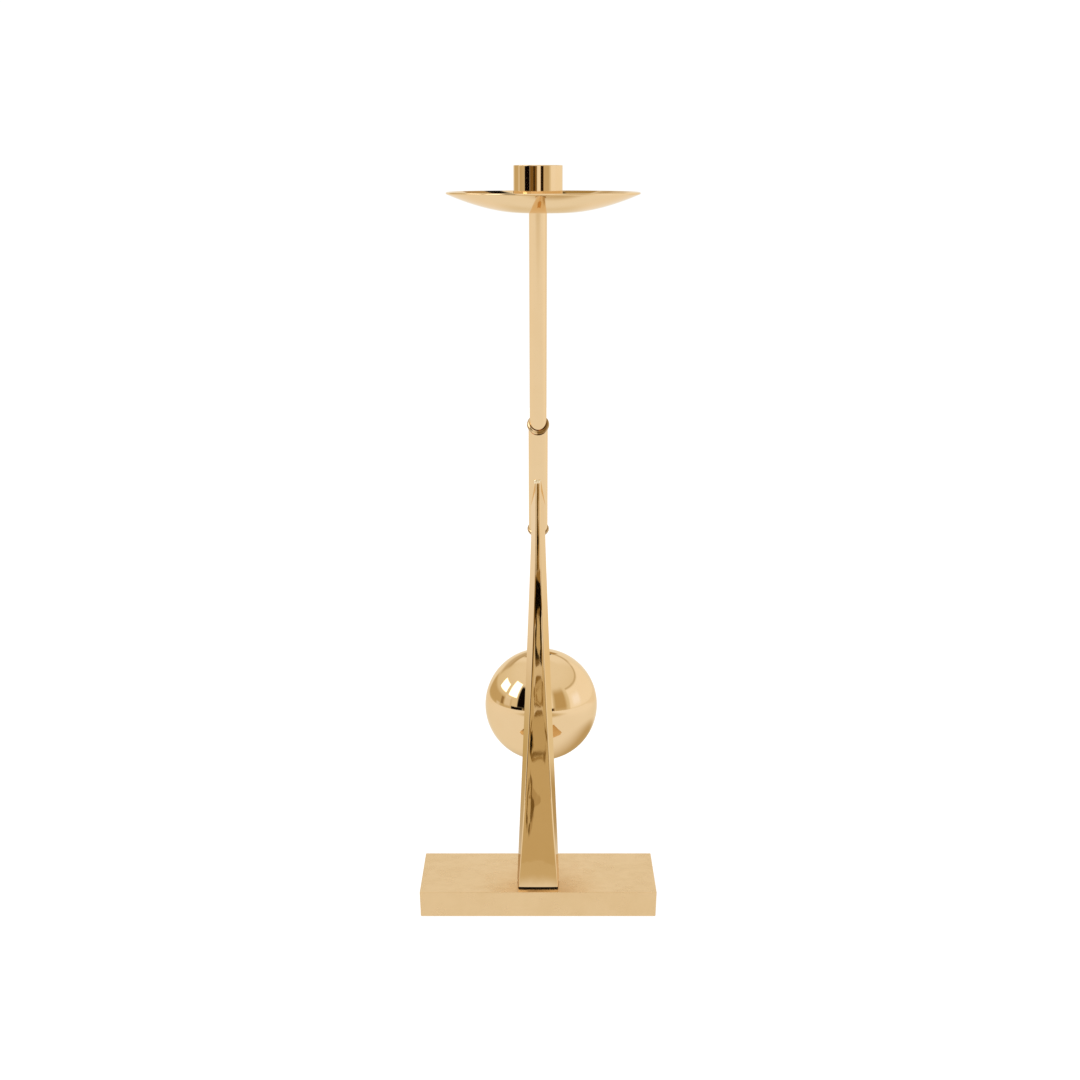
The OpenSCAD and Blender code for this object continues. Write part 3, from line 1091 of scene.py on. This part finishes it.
light = patch(WALL_BRIGHT, light, (-33, 24), (3, 75), 2, 1)
light = patch(WALL_BRIGHT, light, (-3, 12), (-2.5, 3), 2, 1)
light = patch(SHADE, light, (-38, -5), (-2.5, 3), 2, 1)
light = patch(BLACK, light, (-21, -15), (-2.5, 3.0), 1, 1)
light = patch(SHADE, light, (12, 27), (-2.5, 3.0), 1.5, 0.7)
light = patch(BLACK, light, (14, 24), (-2.5, 3.0), 1, 0.7)
light = patch(BLACK, light, (-65, -39), (-2.5, 2.5), 1.5, 0.5)
light = patch(BLACK, light, (-51, -34), (1.5, 42), 1.5, 3)
light = patch(WINDOW, light, (-110, -86), (20, 34), 1, 1)
light = patch(WINDOW, light, (-77, -55), (19, 46), 1, 1)

glow = sky.new("ShaderNodeBackground")
sky.put(glow.inputs["Color"], light)
sky.put(sky.new("ShaderNodeOutputWorld").inputs["Surface"], glow.outputs[0])


LAMP_AIM = Vector((0, 0, 0.15))


def softbox(name, place, size, power):
    """A wide soft light that the metal doesn't mirror, aimed at the candlestick below its middle."""
    light_data = bpy.data.lights.new(name, "AREA")
    light_data.shape = "RECTANGLE"
    light_data.size, light_data.size_y = size
    light_data.energy = power
    lamp = bpy.data.objects.new(name, light_data)
    lamp.location = place
    aim = LAMP_AIM - Vector(place)
    lamp.rotation_euler = aim.to_track_quat("-Z", "Y").to_euler()
    lamp.visible_glossy = False
    bpy.context.scene.collection.objects.link(lamp)


softbox("top_softbox", (-0.4, -0.3, 2.2), (2.2, 2.2), 22)

# ---------------------------------------------------------------- camera

CAMERA_PLACE = (0.001, -1.3047, 0.4156)
CAMERA_PITCH = 9.23
CAMERA_LENS = 80

camera_data = bpy.data.cameras.new("camera")
camera_data.sensor_width = 36
camera_data.lens = CAMERA_LENS
camera = bpy.data.objects.new("camera", camera_data)
camera.location = CAMERA_PLACE
camera.rotation_euler = (math.radians(90 - CAMERA_PITCH), 0, 0)
bpy.context.scene.collection.objects.link(camera)
bpy.context.scene.camera = camera

bpy.context.scene.view_settings.view_transform = "Standard"
